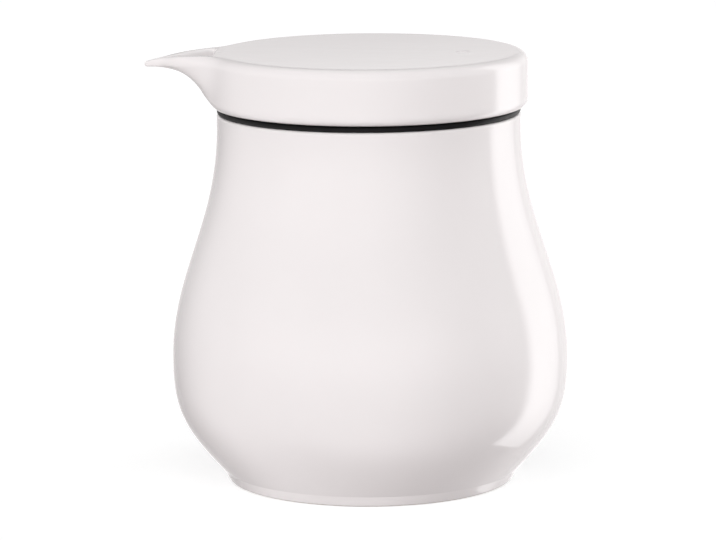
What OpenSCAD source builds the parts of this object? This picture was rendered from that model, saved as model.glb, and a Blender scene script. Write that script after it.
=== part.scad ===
// Lidded sauce jug: a pear-shaped porcelain body without a handle, a porcelain
// lid whose collar runs out into a pouring beak, and a black silicone seal that
// sits on the lid's skirt and shows as a thin line between lid and body.
// Millimetres, +Z up, origin on the jug's axis in the plane it stands on.
// The beak points along -X.

/* [Jug body] */
// Radius of the belly at its widest
belly_r = 55; // [53:0.5:58]
// Height of the widest point above the table
belly_z = 34; // [31:0.5:38]
// Outside radius of the straight neck
neck_r = 42; // [41:0.5:44]
// Height at which the shoulder has run out into the straight neck
neck_z = 99.5; // [95:0.5:101]
// Height of the rim above the table
rim_z = 102.5; // [102.5:0.5:112]
// Thickness of the porcelain wall at the neck
wall = 4.5; // [4:0.25:5]
// Radius of the foot ring where it meets the table
foot_r = 39.4; // [38:0.2:40]
// Height of the foot ring
foot_h = 3; // [2:0.5:4]
// Thickness of the floor above the recess under the foot
floor_t = 4.5; // [4:0.5:6]

/* [Lid] */
// Height of the lid's collar from its lower edge to its top edge
collar_h = 15.2; // [14:0.2:18]
// How far the collar stands out past the neck
collar_over = 2; // [1.5:0.25:3]
// Radius of the collar's rounded top edge
edge_round = 3; // [1.4:0.2:4]
// Reach of the beak past the collar
beak_reach = 17.8; // [16:0.2:20]
// Half-angle over which the beak swells out of the collar, in degrees
beak_spread = 10.8; // [10:0.4:12]
// Depth of the dish in the lid's top
dish = 0.7; // [0.3:0.1:1.2]
// Thickness of the lid's top at its edge
top_t = 4.5; // [4:0.25:5]
// Depth of the skirt below the collar
skirt_h = 11; // [10:0.5:14]
// Diameter of the vent hole
vent_d = 2.4; // [2:0.2:4]

/* [Seal] */
// Thickness of the seal's flange, the visible black line
seal_t = 1.7; // [1.2:0.1:2.2]
// Number of sealing fins inside the neck
fins = 3; // [2:1:3]

/* [Hidden] */
$fn = 96;

// Fits: radial and axial room between the pieces
fit_seal = 0.05;   // seal to the lid, and flange to the faces above and below it
fit_fin = 0.1;     // fin tips to the neck's bore

// Derived sizes
bore_r = neck_r - wall;              // bore of the neck
lid_z = rim_z + seal_t + 2*fit_seal; // lower edge of the collar
top_z = lid_z + collar_h;            // top edge of the collar
lid_r = neck_r + collar_over;        // outside of the collar
low_r = lid_r - 2.2;                 // collar radius at its rounded lower edge
edge_r = lid_r - edge_round;          // and where its rounded top edge begins
skirt_r = bore_r - 2;                // outside of the lid's skirt
skirt_in = skirt_r - 3.5;            // inside of the lid's skirt
sleeve_r = skirt_r + 1;              // outside of the seal's sleeve
floor_z = floor_t + 2.5;             // inside floor of the jug
vent_x = 26;                         // vent's distance behind the axis

white = [0.94, 0.93, 0.92];
black = [0.05, 0.05, 0.055];

// Point on a cubic curve with end points a, d and handles b, c
function bez(a, b, c, d, t) =
    pow(1-t, 3)*a + 3*pow(1-t, 2)*t*b + 3*(1-t)*t*t*c + pow(t, 3)*d;
// n points along it, without its last one
function bez_run(a, b, c, d, n) = [for (i = [0:n-1]) bez(a, b, c, d, i/n)];
// Points of an arc around c from angle u to angle v
function arc(c, r, u, v, n) =
    [for (i = [0:n]) let (q = u + (v-u)*i/n) c + r*[cos(q), sin(q)]];

// ---------------------------------------------------------------- jug body

// Foot ring: flat underside with rounded edges, outside leaning out to the belly
foot_top_r = foot_r + 1.7;
function foot_line() = concat(
    [[foot_r - 6.2, 2.5], [foot_r - 5.2, 0.6]],
    arc([foot_r - 4.5, 0.7], 0.7, 190, 270, 4),
    arc([foot_r - 0.9, 0.9], 0.9, 270, 345, 5),
    [[foot_top_r - 0.25, foot_h - 0.5], [foot_top_r + 0.15, foot_h + 0.15]]);

// Outside of the belly: up from the foot at 42 degrees, round the widest point,
// and in one long S to the neck
belly_lo = [foot_top_r + 0.6, foot_h + 0.6];
function belly_line() = concat(
    bez_run(belly_lo, belly_lo + 16*[sin(42), cos(42)],
            [belly_r, belly_z - 13.9], [belly_r, belly_z], 16),
    bez_run([belly_r, belly_z], [belly_r, belly_z + 24.5],
            [neck_r, neck_z - 28], [neck_r, neck_z], 26));

// Rim: outer and inner edge rounded small
function rim_line() = concat(
    [[neck_r, neck_z]],
    arc([neck_r - 0.8, rim_z - 0.8], 0.8, 0, 90, 5),
    arc([bore_r + 0.8, rim_z - 0.8], 0.8, 90, 180, 4));

// Inside, from the bore down to the middle of the floor
in_r = belly_r - wall - 0.2;
bore_z = rim_z - 15;
function inside_line() = concat(
    bez_run([bore_r, bore_z], [bore_r, bore_z - 24],
            [in_r, belly_z + 23], [in_r, belly_z], 22),
    bez_run([in_r, belly_z], [in_r, belly_z - 15],
            [42, floor_z], [28, floor_z], 14),
    [[28, floor_z], [0, floor_z], [0, 2.5]]);

module jug_body() {
    color(white)
    rotate_extrude()
        polygon(concat(foot_line(), belly_line(), rim_line(), inside_line()));
}

// --------------------------------------------------------------------- lid

// The lid's outside is one skin of upright profile lines set round the axis.
// Away from the beak a line follows the collar; in the beak's middle it follows
// the beak; between them it is mixed by the swell, which falls off sideways.

// Swell of the beak at q degrees from its middle, 1 at the tip and 0 far away: a
// broad spout that ends in a small point
function swell(q) = 0.73*exp(-pow(q/beak_spread, 1.9)) + 0.27*exp(-(sqrt(q*q + 0.12) - sqrt(0.12))/0.8);

// Collar line, s from 0 at the lower edge to 1 at the top edge
function collar_pt(s) =
    s < 0.3 ? let (u = 90*s/0.3) [low_r + 2.2*sin(u), lid_z + 2.2*(1 - cos(u))] :
    s < 0.75 ? [lid_r, lid_z + 2.2 + (s - 0.3)/0.45*(collar_h - 2.2 - edge_round)] :
    let (u = 90*(s - 0.75)/0.25) [lid_r - edge_round*(1 - cos(u)), top_z - edge_round*(1 - sin(u))];

// Beak line: an S from the collar's lower edge out to the tip, then the lip
tip = [lid_r + beak_reach - 0.8, top_z - 3.2];
function beak_pt(s) =
    s < 0.75 ? bez([low_r, lid_z], [low_r + 5.2, lid_z + 7.9],
                   [low_r + 7.9, lid_z + 11.3], tip - [0, 0.8], s/0.75) :
    let (u = -90 + 180*(s - 0.75)/0.25) tip + 0.8*[cos(u), sin(u)];

function skin_pt(q, s) = let (k = swell(q), a = collar_pt(s), b = beak_pt(s))
    [a[0] + k*(b[0] - a[0]), a[1] + pow(k, 1 + 1.2*s)*(b[1] - a[1])];

// Channel of the beak: from the lid's hollow out under the edge of the top, then
// open upwards to the tip. Its floor is one line run out in every direction, a
// little higher to the sides; its wall rises steeply and leaves the rim standing.
// s runs from 0 in the hollow over 0.7 at the foot of the wall to 1 at the rim.
hollow_r = lid_r - 4;                     // hollow of the lid behind the collar
ch_tip = [tip[0] - 2.3, tip[1] + 0.75];
ch_z0 = lid_z + 2.8;
ch_floor = [for (i = [0:24]) bez([hollow_r, ch_z0], [lid_r + 0.5, ch_z0 + 5.4],
                                 [lid_r + 4.5, ch_z0 + 9.7], ch_tip, i/24)];
function hollow_pt(s) = [hollow_r, ch_z0 + s*(top_z - 0.6 - ch_z0)];
function channel_pt(q, s) = let (
        k = swell(q),
        out = hollow_r + k*(ch_tip[0] - hollow_r),
        rim = top_z - 0.6 + pow(k, 2.2)*(ch_tip[1] - top_z + 0.6),
        r = hollow_r + min(s/0.7, 1)*(out - 1.6 - hollow_r),
        z = lookup(r, ch_floor) + 0.02*pow(r*sin(q), 2),
        u = max(0, s - 0.7)/0.3)
    [r + 1.6*u, z + u*(rim - z)];

// Directions round the axis: close together over the beak, wide apart behind it.
// The channel takes the first ones, up to its side walls.
ch_n = 8;
side_q = concat([0, 0.3, 0.65], [for (i = [1:ch_n]) beak_spread*pow(i/ch_n, 1.1)],
                [for (d = [0.6, 2.5, 5, 8, 12, 17, 23, 29, 35]) beak_spread + d]);
last_q = side_q[len(side_q)-1];
turn = concat(side_q, [for (i = [1:32]) last_q + i*(360 - 2*last_q)/33],
              [for (i = [len(side_q)-1:-1:1]) 360 - side_q[i]]);
function off(a) = a > 180 ? 360 - a : a;
rows = [0, 0.06, 0.13, 0.21, 0.3, 0.4, 0.5, 0.6, 0.68, 0.75, 0.8, 0.85, 0.9, 0.95, 1];

// One upright section through the collar wall: outside up, inside down
function section(q) = concat(
    [for (s = rows) let (p = skin_pt(q, s)) [p[0], max(p[1], lid_z + 0.1)]],
    [for (j = [10:-1:0]) q < beak_spread + 0.1 ? channel_pt(q, j/10) : hollow_pt(j/10)],
    [[hollow_r, lid_z + 0.1]]);

// Collar and beak: the ring of those sections
module lid_collar() {
    n = len(section(0));
    m = len(turn);
    pts = [for (a = turn) for (p = section(off(a))) [-p[0]*cos(a), -p[0]*sin(a), p[1]]];
    faces = [for (i = [0:m-1]) for (j = [0:n-1]) let (h = (i+1) % m, k = (j+1) % n)
        each [[i*n+j, i*n+k, h*n+k], [i*n+j, h*n+k, h*n+j]]];
    polyhedron(pts, faces, convexity = 6);
}

// Skirt that carries the seal, with a bead at its lower end to hold it on, and
// the plate that joins it to the collar
module lid_skirt() {
    b = lid_z - skirt_h;
    r = hollow_r + 0.9;
    rotate_extrude()
        polygon(concat(
            [[skirt_in + 0.6, b], [skirt_r - 0.4, b]],
            arc([skirt_r - 0.2, b + 0.8], 0.8, -70, 70, 6),
            [[skirt_r, b + 1.7], [skirt_r, lid_z], [r, lid_z], [r, lid_z + 2.4],
             [skirt_in + 1, lid_z + 2.4], [skirt_in, lid_z + 1.4],
             [skirt_in, b + 0.6]]));
}

// Height of the dished top at radius r
function top_at(r) = top_z - dish*(1 - pow(min(r/edge_r, 1), 2));

// Top of the lid, a little dished, with the vent behind the middle. Its rounded
// edge lies inside the collar, and shows where it bridges the root of the beak.
module lid_top() {
    r = edge_r - 0.3;
    e = edge_round - 0.25;
    z = top_z - top_t;
    difference() {
        rotate_extrude()
            polygon(concat([[0, z], [lid_r - 1.2, z]],
                           arc([edge_r, top_z - edge_round], e, acos((edge_round - 1.2)/e), 88, 6),
                           [for (i = [8:-1:0]) [r*i/8, top_at(r*i/8)]]));
        translate([vent_x, 0, z - 1]) cylinder(h = top_t + 2, d = vent_d);
    }
}

module lid() {
    color(white)
    union() {
        lid_collar();
        lid_skirt();
        lid_top();
    }
}

// --------------------------------------------------------------- seal ring

// Flange between lid and rim, sleeve round the skirt, fins against the bore
module seal_ring() {
    i = skirt_r + fit_seal;
    z1 = lid_z - fit_seal;
    z0 = z1 - seal_t;
    b = lid_z - skirt_h + 1.75;
    t = bore_r - fit_fin;
    pitch = (z0 - b - 1.2)/fins;
    e = min(0.7, seal_t/2 - 0.05);   // rounding of the flange's edge
    color(black)
    rotate_extrude()
        polygon(concat(
            [[i, b], [sleeve_r - 0.3, b], [sleeve_r, b + 0.3]],
            [for (k = [0:fins-1]) let (z = b + 0.6 + k*pitch)
                each [[sleeve_r, z], [t, z + 0.7], [t, z + 1.0], [sleeve_r, z + 1.3]]],
            [[sleeve_r, z0]],
            arc([neck_r - 0.1 - e, z0 + e], e, 270, 360, 5),
            arc([neck_r - 0.1 - e, z1 - e], e, 0, 90, 5),
            [[i, z1]]));
}

jug_body();
lid();
seal_ring();
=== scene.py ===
import bmesh
import bpy
import math
import numpy as np
from mathutils import Matrix, Vector


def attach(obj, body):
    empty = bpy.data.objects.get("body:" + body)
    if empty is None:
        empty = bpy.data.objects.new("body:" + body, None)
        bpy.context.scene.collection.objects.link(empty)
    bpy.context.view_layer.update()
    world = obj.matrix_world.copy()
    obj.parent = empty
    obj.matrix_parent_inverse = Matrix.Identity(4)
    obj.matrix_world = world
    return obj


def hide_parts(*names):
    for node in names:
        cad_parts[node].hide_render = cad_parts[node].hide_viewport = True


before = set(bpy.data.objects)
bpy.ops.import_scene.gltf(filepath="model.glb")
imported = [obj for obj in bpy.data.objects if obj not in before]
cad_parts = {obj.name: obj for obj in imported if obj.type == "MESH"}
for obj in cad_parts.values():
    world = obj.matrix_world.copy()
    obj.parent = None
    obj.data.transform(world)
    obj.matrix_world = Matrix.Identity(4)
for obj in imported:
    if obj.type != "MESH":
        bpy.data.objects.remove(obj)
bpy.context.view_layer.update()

MM = 0.001

# ------------------------------------------------------------------ sizes, in mm
BELLY_R, BELLY_Z = 55.0, 34.0
NECK_R, NECK_Z, RIM_Z = 42.0, 99.5, 102.5
BORE_R = 37.5
FOOT_R, FOOT_H = 39.4, 3.0
FLOOR_Z = 7.0
LID_Z, TOP_Z = 104.3, 119.5
LID_R, LOW_R, EDGE_ROUND = 44.0, 41.8, 3.0
EDGE_R = LID_R - EDGE_ROUND
DISH = 0.7
SKIRT_R, SKIRT_IN, SKIRT_B = 35.5, 32.0, 93.3
HOLLOW_R = 40.0
VENT_X, VENT_R = 26.0, 1.2
SPREAD = 10.8
TIP = np.array([LID_R + 17.8 - 0.8, TOP_Z - 3.2])


# ------------------------------------------------------------- outlines and curves
def bez(a, b, c, d, n, last=True):
    """n steps along a cubic curve."""
    t = np.linspace(0, 1, n + 1)[:, None]
    p = ((1 - t) ** 3 * np.array(a) + 3 * (1 - t) ** 2 * t * np.array(b)
         + 3 * (1 - t) * t * t * np.array(c) + t ** 3 * np.array(d))
    return p if last else p[:-1]


def line(a, b, n, last=True):
    t = np.linspace(0, 1, n + 1)[:, None]
    p = np.array(a) + t * (np.array(b) - np.array(a))
    return p if last else p[:-1]


def arc(c, r, u, v, n):
    q = np.radians(np.linspace(u, v, n + 1))
    return np.c_[c[0] + r * np.cos(q), c[1] + r * np.sin(q)]


def rounded(points, steps=6):
    """An open outline of (r, z, radius): every inner corner rounded with its radius."""
    p = [np.array(x[:2], float) for x in points]
    out = [p[0]]
    for i in range(1, len(p) - 1):
        rad = points[i][2] if len(points[i]) > 2 else 0.0
        u, v = p[i - 1] - p[i], p[i + 1] - p[i]
        lu, lv = np.linalg.norm(u), np.linalg.norm(v)
        u, v = u / lu, v / lv
        half = math.acos(max(-1, min(1, float(u @ v)))) / 2
        if rad <= 0 or half > math.pi / 2 - 1e-3:
            out.append(p[i])
            continue
        cut = min(rad / math.tan(half), 0.49 * lu, 0.49 * lv)
        rad = cut * math.tan(half)
        centre = p[i] + (u + v) / np.linalg.norm(u + v) * rad / math.sin(half)
        a, b = p[i] + u * cut - centre, p[i] + v * cut - centre
        ang = math.atan2(a[0] * b[1] - a[1] * b[0], float(a @ b))
        for k in range(steps + 1):
            t = ang * k / steps
            out.append(centre + np.array([a[0] * math.cos(t) - a[1] * math.sin(t),
                                          a[0] * math.sin(t) + a[1] * math.cos(t)]))
    out.append(p[-1])
    return np.array(out)


def thin(points, least=1e-4):
    keep = [points[0]]
    for p in points[1:]:
        if np.linalg.norm(p - keep[-1]) > least:
            keep.append(p)
    return np.array(keep)


def refine(points, most):
    """Splits long straight runs so that no step is over most."""
    out = [points[0]]
    for a, b in zip(points[:-1], points[1:]):
        n = max(1, int(math.ceil(np.linalg.norm(b - a) / most)))
        out += [a + (b - a) * k / n for k in range(1, n + 1)]
    return np.array(out)


# --------------------------------------------------------------------- mesh making
def new_object(name, verts, faces, smooth=True):
    mesh = bpy.data.meshes.new(name)
    mesh.from_pydata([tuple(v) for v in verts], [], [tuple(f) for f in faces])
    mesh.validate()
    mesh.update()
    if smooth:
        mesh.polygons.foreach_set("use_smooth", [True] * len(mesh.polygons))
    obj = bpy.data.objects.new(name, mesh)
    bpy.context.scene.collection.objects.link(obj)
    return obj


def lathe(name, outline, turns):
    """Turns an outline about Z. A point on the axis becomes one pole; an outline with no such ends is a closed ring."""
    outline = thin(np.asarray(outline, float))
    poles = outline[0][0] < 1e-6 and outline[-1][0] < 1e-6
    rows = outline[1:-1] if poles else outline
    a = np.linspace(0, 2 * math.pi, turns, endpoint=False)
    n = len(rows)
    ring = np.stack([rows[:, 0][None] * np.cos(a)[:, None],
                     rows[:, 0][None] * np.sin(a)[:, None],
                     np.repeat(rows[:, 1][None], turns, 0)], -1)
    verts = list(ring.reshape(-1, 3) * MM)
    faces = []
    for i in range(turns):
        j = (i + 1) % turns
        for k in range(n if not poles else n - 1):
            m = (k + 1) % n
            faces.append((i * n + k, j * n + k, j * n + m, i * n + m))
    if poles:
        lo, hi = len(verts), len(verts) + 1
        verts += [np.array([0, 0, outline[0][1]]) * MM, np.array([0, 0, outline[-1][1]]) * MM]
        for i in range(turns):
            j = (i + 1) % turns
            faces.append((lo, j * n, i * n))
            faces.append((hi, i * n + n - 1, j * n + n - 1))
    return new_object(name, verts, faces)


# ------------------------------------------------------------------------ jug body
foot_top = FOOT_R + 1.7
belly_lo = np.array([foot_top + 0.6, FOOT_H + 0.6])
rise = 16 * np.array([math.sin(math.radians(42)), math.cos(math.radians(42))])
IN_R = BELLY_R - 4.7
under = rounded([
    (0, 2.5), (FOOT_R - 6.2, 2.5, 1.3), (FOOT_R - 5.0, 0.0, 0.8), (FOOT_R + 0.15, 0.0, 0.9),
    (foot_top + 0.05, FOOT_H + 0.05, 0.35), tuple(belly_lo)], 8)
body_line = thin(np.vstack([
    refine(under, 1.5),
    bez(belly_lo, belly_lo + rise, [BELLY_R, BELLY_Z - 13.9], [BELLY_R, BELLY_Z], 56),
    bez([BELLY_R, BELLY_Z], [BELLY_R, BELLY_Z + 24.5], [NECK_R, NECK_Z - 28], [NECK_R, NECK_Z], 84),
    line([NECK_R, NECK_Z], [NECK_R, RIM_Z - 0.8], 4),
    arc([NECK_R - 0.8, RIM_Z - 0.8], 0.8, 0, 90, 9),
    line([NECK_R - 0.8, RIM_Z], [BORE_R + 0.8, RIM_Z], 4),
    arc([BORE_R + 0.8, RIM_Z - 0.8], 0.8, 90, 180, 7),
    line([BORE_R, RIM_Z - 0.8], [BORE_R, RIM_Z - 15], 12),
    bez([BORE_R, RIM_Z - 15], [BORE_R, RIM_Z - 39], [IN_R, BELLY_Z + 23], [IN_R, BELLY_Z], 60),
    bez([IN_R, BELLY_Z], [IN_R, BELLY_Z - 15], [42, FLOOR_Z], [28, FLOOR_Z], 44),
    line([28, FLOOR_Z], [0, FLOOR_Z], 14),
]))
body = lathe("jug_body_glazed", body_line, 224)


# ------------------------------------------------------------------------ seal ring
def seal_line():
    i, z1 = SKIRT_R + 0.05, LID_Z - 0.05
    z0, b, sl, t = z1 - 1.7, SKIRT_B + 1.75, SKIRT_R + 1.0, BORE_R - 0.1
    pitch = (z0 - b - 1.2) / 3
    p = [(i, b + 2.0), (i, b, 0.3), (sl, b, 0.3)]
    for k in range(3):
        z = b + 0.6 + k * pitch
        p += [(sl, z, 0.3), (t, z + 0.72, 0.22), (t, z + 1.02, 0.16), (sl, z + 1.3, 0.3)]
    p += [(sl, z0, 0.25), (NECK_R - 0.1, z0, 0.7), (NECK_R - 0.1, z1, 0.7), (i, z1, 0.35), (i, b + 2.2)]
    return refine(thin(rounded(p, 5)), 0.8)


seal = lathe("seal_ring_silicone", seal_line(), 224)


# ------------------------------------------------------------------------------ lid
# The lid is one skin round a field: negative inside the porcelain, positive
# outside, close to the distance in mm. Upright sections through the axis give
# most of it; the beak's channel, its passage under the top and the vent are cut
# out of them, with every edge rounded.
def swell(q):
    return 0.73 * np.exp(-np.power(q / SPREAD, 1.9)) + 0.27 * np.exp(-(np.sqrt(q * q + 0.12) - math.sqrt(0.12)) / 0.8)


def top_at(r):
    return TOP_Z - DISH * (1 - np.minimum(np.abs(r) / EDGE_R, 1) ** 2)


S_ROWS = np.concatenate([np.linspace(0, 0.3, 15), np.linspace(0.3, 0.75, 22)[1:], np.linspace(0.75, 1, 17)[1:]])


def collar_rows(s):
    out = np.zeros((len(s), 2))
    a, c = s < 0.3, s >= 0.75
    m = ~a & ~c
    u = np.radians(90 * s / 0.3)
    out[a] = np.c_[LOW_R + 2.2 * np.sin(u), LID_Z + 2.2 * (1 - np.cos(u))][a]
    out[m] = np.c_[np.full(len(s), LID_R), LID_Z + 2.2 + (s - 0.3) / 0.45 * (TOP_Z - LID_Z - 2.2 - EDGE_ROUND)][m]
    u = np.radians(90 * (s - 0.75) / 0.25)
    out[c] = np.c_[LID_R - EDGE_ROUND * (1 - np.cos(u)), TOP_Z - EDGE_ROUND * (1 - np.sin(u))][c]
    return out


def beak_rows(s):
    out = np.zeros((len(s), 2))
    a = s < 0.75
    t = (s / 0.75)[:, None]
    p0, p1 = np.array([LOW_R, LID_Z]), np.array([LOW_R + 5.2, LID_Z + 7.9])
    p2, p3 = np.array([LOW_R + 7.9, LID_Z + 11.3]), TIP - [0, 0.8]
    curve = (1 - t) ** 3 * p0 + 3 * (1 - t) ** 2 * t * p1 + 3 * (1 - t) * t * t * p2 + t ** 3 * p3
    out[a] = curve[a]
    u = np.radians(-90 + 180 * (s - 0.75) / 0.25)
    out[~a] = (TIP + 0.8 * np.c_[np.cos(u), np.sin(u)])[~a]
    return out


def section_lines():
    """The section's outline away from the beak and in its middle, as two lists of matching points,
    and how far each point's rise lags behind its reach as the beak swells."""
    top = np.array([(r, top_at(r)) for r in np.linspace(-3, EDGE_R - 0.9, 28)])  # starts past the axis
    skin_a, skin_b = collar_rows(S_ROWS)[::-1], beak_rows(S_ROWS)[::-1]
    rest = thin(rounded([
        (LOW_R, LID_Z), (SKIRT_R, LID_Z, 0.15), (SKIRT_R, SKIRT_B + 1.7, 0.2), (SKIRT_R + 0.6, SKIRT_B + 0.9, 0.7),
        (SKIRT_R - 0.1, SKIRT_B, 0.5), (SKIRT_IN + 0.2, SKIRT_B, 0.8), (SKIRT_IN, LID_Z + 2.4, 1.6),
        (HOLLOW_R, LID_Z + 2.4, 1.8), (HOLLOW_R, TOP_Z - 4.5, 2.2), (-3, TOP_Z - 4.5)], 7))[1:]
    rest = refine(rest, 3.0)
    lag = np.concatenate([np.ones(len(top)), 1 + 1.2 * S_ROWS[::-1], np.ones(len(rest))])
    return np.vstack([top, skin_a, rest]), np.vstack([top, skin_b, rest]), lag


LINE_A, LINE_B, LINE_LAG = section_lines()
LINE_D = LINE_B - LINE_A


# The channel's empty section: the edge of the top and the passage under it, then
# a floor that is the same line in every direction, a little higher to the sides,
# and a steep wall up to the rim.
CHAN_Z = LID_Z + 2.8
CHAN_TIP = TIP + [-2.3, 0.75]
CHAN_FLOOR = bez([HOLLOW_R, CHAN_Z], [LID_R + 0.5, CHAN_Z + 5.4], [LID_R + 4.5, CHAN_Z + 9.7], CHAN_TIP, 60)
CHAN_EDGE = np.vstack([rounded([
    (LID_R - 1.2, 126.0), (LID_R - 1.2, TOP_Z - 4.5, 0.9), (HOLLOW_R - 4, TOP_Z - 4.5)], 8), [(HOLLOW_R - 4, CHAN_Z)]])
CHAN_STEPS = np.linspace(0, 1, 26)


def channel_corners(q, k):
    """The corners of that section's outline, each for all points' own q and k."""
    for p in CHAN_EDGE:
        yield np.float32(p[0]), np.float32(p[1])
    out = HOLLOW_R + k * (CHAN_TIP[0] - HOLLOW_R) - 0.6 * (1 - k)
    high = TOP_Z - 0.6 + np.power(k, 2.2) * (CHAN_TIP[1] - TOP_Z + 0.6)
    for t in CHAN_STEPS:
        r = HOLLOW_R + t * (out - 1.6 - HOLLOW_R)
        z = np.interp(r, CHAN_FLOOR[:, 0], CHAN_FLOOR[:, 1]) + 0.02 * (r * np.sin(np.radians(q))) ** 2
        yield r, z
    for t in (0.1, 0.25, 0.45, 0.7, 1.0):  # the foot of the wall is hollowed
        yield r + 1.6 * t ** 0.6, z + t * (high - z)
    yield out + 0.4, np.float32(126.0)


def skin_corners(k):
    """The corners of the lid's own section, in the same way."""
    for a, d, lag in zip(LINE_A, LINE_D, LINE_LAG):
        if d.any():
            yield a[0] + k * d[0], a[1] + np.power(k, lag) * d[1]
        else:
            yield np.float32(a[0]), np.float32(a[1])


def in_section(corners, r, z):
    """Signed distance of points (r, z) from the outline that belongs to each point."""
    best = np.full(len(r), 1e9, np.float32)
    odd = np.zeros(len(r), bool)
    first = None
    for x, y in corners:
        qx, qy = x - r, y - z
        if first is None:
            first = px, py = qx, qy
            continue
        side_of(px, py, qx, qy, best, odd)
        px, py = qx, qy
    side_of(px, py, *first, best, odd)
    d = np.sqrt(best)
    return np.where(odd, -d, d)


def side_of(px, py, qx, qy, best, odd):
    """Takes one side of the outline into the least distance and the count of crossings."""
    ex, ey = qx - px, qy - py
    t = np.clip(-(px * ex + py * ey) / np.maximum(ex * ex + ey * ey, 1e-12), 0, 1)
    bx, by = px + t * ex, py + t * ey
    np.minimum(best, bx * bx + by * by, out=best)
    flip = (py > 0) != (qy > 0)
    with np.errstate(divide="ignore", invalid="ignore"):
        odd ^= flip & (0 < px - py * ex / np.where(ey == 0, 1e-12, ey))


def smooth_max(a, b, e):
    h = np.clip(0.5 + 0.5 * (a - b) / e, 0, 1)
    return b + (a - b) * h + e * h * (1 - h)


def lid_field(th, r, z):
    """The field at points given by their turn from the beak in radians, radius and height in mm."""
    th, r, z = (np.asarray(x, np.float32) for x in (th, r, z))
    q = np.degrees(np.abs(th))
    k = swell(q).astype(np.float32)
    f = in_section(skin_corners(k), r, z)
    near = q < SPREAD + 7
    if near.any():
        c = in_section(channel_corners(q[near], k[near]), r[near], z[near])
        side = r[near] * np.radians(q[near] - SPREAD - 0.3)
        c = smooth_max(c, side, 1.4)
        f[near] = smooth_max(f[near], -c, 0.95)
    x, y = -r * np.cos(th), -r * np.sin(th)
    f = smooth_max(f, VENT_R - np.hypot(x - VENT_X, y), 1.0)
    return f


def run(*spans):
    """Steps from each (start, step) to the next start."""
    out = []
    for (a, step), (b, _) in zip(spans[:-1], spans[1:]):
        n = max(1, int(round((b - a) / step)))
        out += list(np.linspace(a, b, n, endpoint=False))
    return np.array(out + [spans[-1][0]])


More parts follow.
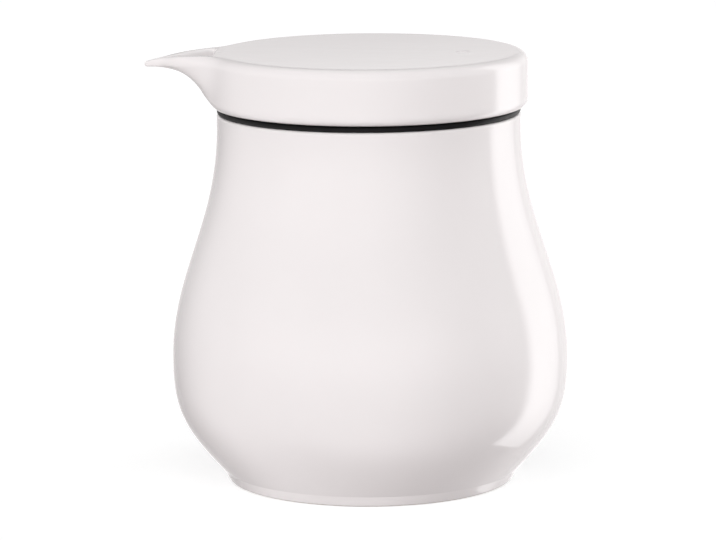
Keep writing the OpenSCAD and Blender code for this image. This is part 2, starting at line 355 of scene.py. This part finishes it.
def lid_mesh():
    half = run((0.0, 0.21), (2.1, 0.42), (6.3, 0.5), (15.3, 1.0), (30.3, 2.0), (60.3, 2.9), (173.4, 0.6), (180.0, 0))
    th = np.radians(np.concatenate([-half[:0:-1], half[:-1]]))  # from -180 up to, and not with, 180
    nr = run((0.0, 1.6), (22.4, 0.8), (24.0, 0.3), (28.2, 0.8), (30.6, 0.5), (33.0, 0.42), (45.0, 0.5), (62.5, 0))
    nz = run((92.9, 0.3), (96.0, 0.42), (103.5, 0.2), (105.1, 0.33), (108.5, 0.42), (114.0, 0.3), (120.2, 0))
    nt, a, b = len(th), len(nr), len(nz)
    R, Z = np.meshgrid(nr, nz, indexing="ij")
    R, Z = R.ravel(), Z.ravel()
    vals, known = np.zeros((nt, a, b), np.float32), {}
    for i, t in enumerate(th):
        key = round(abs(math.degrees(t)), 6)
        if key not in known:
            known[key] = lid_field(np.full(len(R), abs(t)), R, Z).reshape(a, b)
        vals[i] = known[key]
    # one vertex in each cell that the skin passes through, at the mean of the
    # crossings on its edges; the turn wraps round
    nxt = np.roll(vals, -1, 0)
    corner = np.stack([vals[:, i:a - 1 + i, j:b - 1 + j] for i in (0, 1) for j in (0, 1)]
                      + [nxt[:, i:a - 1 + i, j:b - 1 + j] for i in (0, 1) for j in (0, 1)], -1)
    neg = (corner < 0).sum(-1)
    cells = np.argwhere((neg > 0) & (neg < 8))
    index = -np.ones(corner.shape[:3], np.int64)
    index[tuple(cells.T)] = np.arange(len(cells))
    cv = corner[tuple(cells.T)]
    off = np.array([(t, i, j) for t in (0, 1) for i in (0, 1) for j in (0, 1)], float)
    total, count = np.zeros((len(cells), 3)), np.zeros(len(cells))
    for m in range(8):
        for n in range(m + 1, 8):
            if abs(off[m] - off[n]).sum() != 1:
                continue
            va, vb = cv[:, m], cv[:, n]
            hit = (va < 0) != (vb < 0)
            t = np.where(hit, va / np.where(hit, va - vb, 1), 0)[:, None]
            total += np.where(hit[:, None], off[m] + t * (off[n] - off[m]), 0)
            count += hit
    frac = total / count[:, None]
    ci = cells[:, 0]
    t0 = th[ci]
    t1 = np.where(ci == nt - 1, math.pi, th[(ci + 1) % nt])
    vt = t0 + frac[:, 0] * (t1 - t0)
    vr = nr[cells[:, 1]] + frac[:, 1] * np.diff(nr)[cells[:, 1]]
    vz = nz[cells[:, 2]] + frac[:, 2] * np.diff(nz)[cells[:, 2]]
    # draw the vertices onto the skin itself
    h = 0.02
    for _ in range(3):
        f0 = lid_field(vt, vr, vz)
        gr = (lid_field(vt, vr + h, vz) - lid_field(vt, vr - h, vz)) / (2 * h)
        gz = (lid_field(vt, vr, vz + h) - lid_field(vt, vr, vz - h)) / (2 * h)
        ht = h / np.maximum(vr, 1.0)
        gt = (lid_field(vt + ht, vr, vz) - lid_field(vt - ht, vr, vz)) / (2 * h)
        g2 = np.maximum(gr ** 2 + gz ** 2 + gt ** 2, 0.2)
        step = np.clip(f0 / g2, -0.2, 0.2)
        vr = np.maximum(vr - step * gr, 0.05)
        vz = vz - step * gz
        vt = vt - step * gt / np.maximum(vr, 1.0)
    verts = np.c_[-vr * np.cos(vt), -vr * np.sin(vt), vz]
    # a face for each grid edge that the skin crosses
    faces = []

    def quads(inside, outside, c0, c1, c2, c3):
        crossed = inside != outside
        four = np.stack([c0, c1, c2, c3], -1)[crossed]
        flip = inside[crossed]
        four[~flip] = four[~flip][:, ::-1]
        faces.extend(map(tuple, four))

    neg = vals < 0
    # edges round the axis
    quads(neg[:, 1:-1, 1:-1], np.roll(neg, -1, 0)[:, 1:-1, 1:-1],
          index[:, :-1, :-1], index[:, :-1, 1:], index[:, 1:, 1:], index[:, 1:, :-1])
    # edges along the radius
    before = np.roll(index, 1, 0)
    quads(neg[:, :-1, 1:-1], neg[:, 1:, 1:-1],
          before[:, :, :-1], index[:, :, :-1], index[:, :, 1:], before[:, :, 1:])
    # upright edges, off the axis
    quads(neg[:, 1:-1, :-1], neg[:, 1:-1, 1:],
          before[:, :-1], before[:, 1:], index[:, 1:], index[:, :-1])
    # upright edges on the axis: a fan from a new middle vertex
    for j in range(b - 1):
        if neg[0, 0, j] != neg[0, 0, j + 1]:
            ring = index[:, 0, j]
            verts = np.vstack([verts, [0, 0, verts[ring, 2].mean()]])
            mid = len(verts) - 1
            for i in range(nt):
                tri = (mid, ring[i], ring[(i + 1) % nt])
                faces.append(tri if neg[0, 0, j] else tri[::-1])
    return verts * MM, faces


lv, lf = lid_mesh()
lid = new_object("lid_glazed", lv, lf)
bm = bmesh.new()
bm.from_mesh(lid.data)
bmesh.ops.recalc_face_normals(bm, faces=bm.faces)
bm.to_mesh(lid.data)
bm.free()


# ------------------------------------------------------------------------ materials
def material(name):
    mat = bpy.data.materials.new(name)
    mat.use_nodes = True
    nt = mat.node_tree
    bsdf = next(n for n in nt.nodes if n.type == "BSDF_PRINCIPLED")
    return mat, nt, bsdf


def noise(nt, vec, scale, detail=2.0, rough=0.5):
    n = nt.nodes.new("ShaderNodeTexNoise")
    n.inputs["Scale"].default_value = scale
    n.inputs["Detail"].default_value = detail
    n.inputs["Roughness"].default_value = rough
    nt.links.new(vec, n.inputs["Vector"])
    return n.outputs["Fac"]


def ramp(nt, fac, stops):
    n = nt.nodes.new("ShaderNodeValToRGB")
    el = n.color_ramp.elements
    while len(el) < len(stops):
        el.new(0.5)
    for e, (at, col) in zip(el, stops):
        e.position = at
        e.color = (*col, 1) if len(col) == 3 else col
    nt.links.new(fac, n.inputs["Fac"])
    return n.outputs["Color"]


def spread(nt, fac, lo, hi, a=0.0, b=1.0):
    n = nt.nodes.new("ShaderNodeMapRange")
    n.inputs["From Min"].default_value = a
    n.inputs["From Max"].default_value = b
    n.inputs["To Min"].default_value = lo
    n.inputs["To Max"].default_value = hi
    nt.links.new(fac, n.inputs["Value"])
    return n.outputs["Result"]


def glaze(name, tone):
    """White gloss glaze: a slow change of tone, a faint orange peel, a little change of gloss."""
    mat, nt, bsdf = material(name)
    co = nt.nodes.new("ShaderNodeTexCoord").outputs["Object"]
    slow = noise(nt, co, 22, 3)
    lo = tuple(c * 0.985 for c in tone)
    hi = tuple(min(1, c * 1.01) for c in tone)
    col = ramp(nt, slow, [(0.35, lo), (0.65, hi)])
    nt.links.new(col, bsdf.inputs["Base Color"])
    nt.links.new(spread(nt, noise(nt, co, 60, 2), 0.05, 0.085, 0.3, 0.7), bsdf.inputs["Roughness"])
    bump = nt.nodes.new("ShaderNodeBump")
    bump.inputs["Strength"].default_value = 0.07
    bump.inputs["Distance"].default_value = 0.0003
    nt.links.new(noise(nt, co, 150, 2), bump.inputs["Height"])
    nt.links.new(bump.outputs["Normal"], bsdf.inputs["Normal"])
    bsdf.inputs["IOR"].default_value = 1.52
    return mat


def bisque(name):
    """The unglazed, ground underside of the foot."""
    mat, nt, bsdf = material(name)
    co = nt.nodes.new("ShaderNodeTexCoord").outputs["Object"]
    col = ramp(nt, noise(nt, co, 500, 4, 0.6), [(0.3, (0.70, 0.66, 0.61)), (0.7, (0.83, 0.80, 0.76))])
    nt.links.new(col, bsdf.inputs["Base Color"])
    nt.links.new(spread(nt, noise(nt, co, 900, 3), 0.7, 0.9, 0.3, 0.7), bsdf.inputs["Roughness"])
    bump = nt.nodes.new("ShaderNodeBump")
    bump.inputs["Strength"].default_value = 0.35
    bump.inputs["Distance"].default_value = 0.0002
    nt.links.new(noise(nt, co, 2200, 3, 0.6), bump.inputs["Height"])
    nt.links.new(bump.outputs["Normal"], bsdf.inputs["Normal"])
    return mat


def silicone(name):
    mat, nt, bsdf = material(name)
    co = nt.nodes.new("ShaderNodeTexCoord").outputs["Object"]
    col = ramp(nt, noise(nt, co, 260, 3), [(0.35, (0.002, 0.002, 0.0022)), (0.7, (0.005, 0.005, 0.0054))])
    nt.links.new(col, bsdf.inputs["Base Color"])
    nt.links.new(spread(nt, noise(nt, co, 700, 3), 0.34, 0.46, 0.3, 0.7), bsdf.inputs["Roughness"])
    bsdf.inputs["Specular IOR Level"].default_value = 0.08
    bump = nt.nodes.new("ShaderNodeBump")
    bump.inputs["Strength"].default_value = 0.2
    bump.inputs["Distance"].default_value = 0.0001
    nt.links.new(noise(nt, co, 3000, 2), bump.inputs["Height"])
    nt.links.new(bump.outputs["Normal"], bsdf.inputs["Normal"])
    return mat


WHITE = (0.862, 0.851, 0.8515)
body.data.materials.append(glaze("body_glaze", WHITE))
body.data.materials.append(bisque("foot_bisque"))
# The lid's glaze is the body's white painted 2.5% lighter: a lit copy of the same glaze, painted light standing in for
# more light on the lid.
lid.data.materials.append(glaze("lid_glaze", tuple(c * 1.025 for c in WHITE)))
seal.data.materials.append(silicone("seal_silicone"))
for p in body.data.polygons:
    c = p.center / MM
    if c.z < 0.25 and math.hypot(c.x, c.y) > FOOT_R - 6.5:
        p.material_index = 1

for piece, node, slot_name, on in ((body, "jug_body", "body_porcelain", "jug"), (lid, "lid", "lid_porcelain", "lid"),
                                   (seal, "seal_ring", "seal_silicone", "seal")):
    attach(piece, on)
    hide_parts(node)


# ---------------------------------------------------------------------- stage, light
def plane(name, size, z):
    h = size / 2
    return new_object(name, [(-h, -h, z), (h, -h, z), (h, h, z), (-h, h, z)], [(0, 1, 2, 3)], False)


def paper(name, lo, hi, glow, red):
    mat, nt, bsdf = material(name)
    co = nt.nodes.new("ShaderNodeTexCoord").outputs["Object"]
    nt.links.new(ramp(nt, noise(nt, co, 3.0, 2), [(0.3, (red * lo, lo, lo)), (0.7, (red * hi, hi, hi))]), bsdf.inputs["Base Color"])
    bsdf.inputs["Roughness"].default_value = 0.95
    bsdf.inputs["Specular IOR Level"].default_value = 0.0
    bsdf.inputs["Emission Color"].default_value = (1, 1, 1, 1)
    bsdf.inputs["Emission Strength"].default_value = glow
    return mat


# The floor that is seen is white; a greyer sheet just under it gives the bounce.
floor = plane("floor", 16, 0.0)
floor.data.materials.append(paper("floor_white", 0.61, 0.63, 0.575, 0.97))
floor.visible_diffuse = floor.visible_glossy = floor.visible_shadow = False
under_floor = plane("floor_bounce", 16, -0.0002)
under_floor.data.materials.append(paper("floor_grey", 0.43, 0.45, 0.0, 1.06))
under_floor.visible_camera = under_floor.visible_glossy = False

scene = bpy.context.scene
scene.view_settings.view_transform = "Standard"
scene.view_settings.look = "None"


def toward(turn, height):
    """Direction at a turn from the front, to the right, and a height, in degrees."""
    a, e = math.radians(turn), math.radians(height)
    return Vector((math.sin(a) * math.cos(e), -math.cos(a) * math.cos(e), math.sin(e)))


# A smooth surround: soft patches (turn, height, tightness, strength), brightest in
# front and to the left. The strengths are a least-squares fit to the photograph's shading.
GLOW = [
    (0, -35, 8, 1.53),
    (45, -35, 8, 0.65),
    (90, -35, 8, 0.28),
    (135, -35, 8, 1.14),
    (180, -35, 8, 0.60),
    (270, -35, 8, 1.74),
    (315, -35, 8, 1.84),
    (0, -65, 8, 1.79),
    (240, -65, 8, 1.89),
    (0, 5, 14, 1.61),
    (30, 5, 14, 1.46),
    (60, 5, 14, 0.60),
    (90, 5, 14, 1.06),
    (120, 5, 14, 0.75),
    (150, 5, 14, 0.88),
    (180, 5, 14, 0.26),
    (210, 5, 14, 0.12),
    (240, 5, 14, 0.77),
    (270, 5, 14, 0.94),
    (300, 5, 14, 1.38),
    (330, 5, 14, 1.49),
    (0, 50, 6, 0.88),
    (60, 50, 6, 0.21),
    (120, 50, 6, 0.09),
    (240, 50, 6, 0.46),
    (300, 50, 6, 0.44),
    (180, 9, 80, 0.18),
    (160, 6, 40, 0.02),
    (200, 6, 40, 0.36),
    (180, -12, 40, 0.72),
    (110, -20, 25, 0.85),
    (250, -20, 25, 0.45)]
world = bpy.data.worlds.new("studio")
scene.world = world
world.use_nodes = True
wt = world.node_tree
bg = next(n for n in wt.nodes if n.type == "BACKGROUND")
bg.inputs["Color"].default_value = (1.018, 0.985, 0.986, 1)
look = wt.nodes.new("ShaderNodeTexCoord").outputs["Generated"]
total = None
for turn, height, tight, strength in GLOW:
    dot = wt.nodes.new("ShaderNodeVectorMath")
    dot.operation = "DOT_PRODUCT"
    dot.inputs[1].default_value = toward(turn, height)
    wt.links.new(look, dot.inputs[0])
    off = wt.nodes.new("ShaderNodeMath")
    off.operation = "MULTIPLY_ADD"
    off.inputs[1].default_value, off.inputs[2].default_value = tight, -tight
    wt.links.new(dot.outputs["Value"], off.inputs[0])
    bell = wt.nodes.new("ShaderNodeMath")
    bell.operation = "EXPONENT"
    wt.links.new(off.outputs[0], bell.inputs[0])
    add = wt.nodes.new("ShaderNodeMath")
    add.operation = "MULTIPLY_ADD"
    add.inputs[1].default_value, add.inputs[2].default_value = strength, 0.0
    wt.links.new(bell.outputs[0], add.inputs[0])
    if total is not None:
        wt.links.new(total, add.inputs[2])
    total = add.outputs[0]
wt.links.new(total, bg.inputs["Strength"])


def soft_box(name, near, far, low, high, strong, weak):
    """A glowing upright scrim between two (turn, distance) edges, brighter towards the first."""
    a, b = toward(near[0], 0) * near[1], toward(far[0], 0) * far[1]
    obj = new_object(name, [(a.x, a.y, low), (b.x, b.y, low), (b.x, b.y, high), (a.x, a.y, high)], [(0, 1, 2, 3)], False)
    mat = bpy.data.materials.new(name)
    mat.use_nodes = True
    nt = mat.node_tree
    nt.nodes.remove(next(n for n in nt.nodes if n.type == "BSDF_PRINCIPLED"))
    lamp, clear = nt.nodes.new("ShaderNodeEmission"), nt.nodes.new("ShaderNodeBsdfTransparent")
    along, both = nt.nodes.new("ShaderNodeSeparateXYZ"), nt.nodes.new("ShaderNodeAddShader")
    nt.links.new(nt.nodes.new("ShaderNodeTexCoord").outputs["Generated"], along.inputs[0])
    dim = weak / strong
    fade = [(0.0, 0.0), (0.08, 0.5), (0.16, 1 - 0.16 * (1 - dim)), (1.0, dim)]
    nt.links.new(ramp(nt, along.outputs["Y"], [(at, (v, v, v)) for at, v in fade]), lamp.inputs["Color"])
    lamp.inputs["Strength"].default_value = strong
    nt.links.new(lamp.outputs[0], both.inputs[0])
    nt.links.new(clear.outputs[0], both.inputs[1])
    nt.links.new(both.outputs[0], next(n for n in nt.nodes if n.type == "OUTPUT_MATERIAL").inputs["Surface"])
    obj.data.materials.append(mat)
    obj.visible_camera = False
    return obj


soft_box("soft_box_right", (98.0, 0.7), (138.5, 0.95), -0.68, 0.8, 2.71, 0.36)

# --------------------------------------------------------------------------- camera
cam_data = bpy.data.cameras.new("camera")
cam_data.sensor_fit = "HORIZONTAL"
cam_data.sensor_width = 36.0
cam_data.lens = 4089.0 * 36.0 / 716.0
cam_data.clip_start, cam_data.clip_end = 0.05, 50
cam = bpy.data.objects.new("camera", cam_data)
scene.collection.objects.link(cam)
pitch = math.atan2(0.2562 - 0.0582, 1.1188)
cam.matrix_world = (Matrix.Translation((-0.00327, -1.1188, 0.2562)) @ Matrix.Rotation(math.pi / 2 - pitch, 4, "X")
                    @ Matrix.Rotation(-0.007, 4, "Z"))
scene.camera = cam
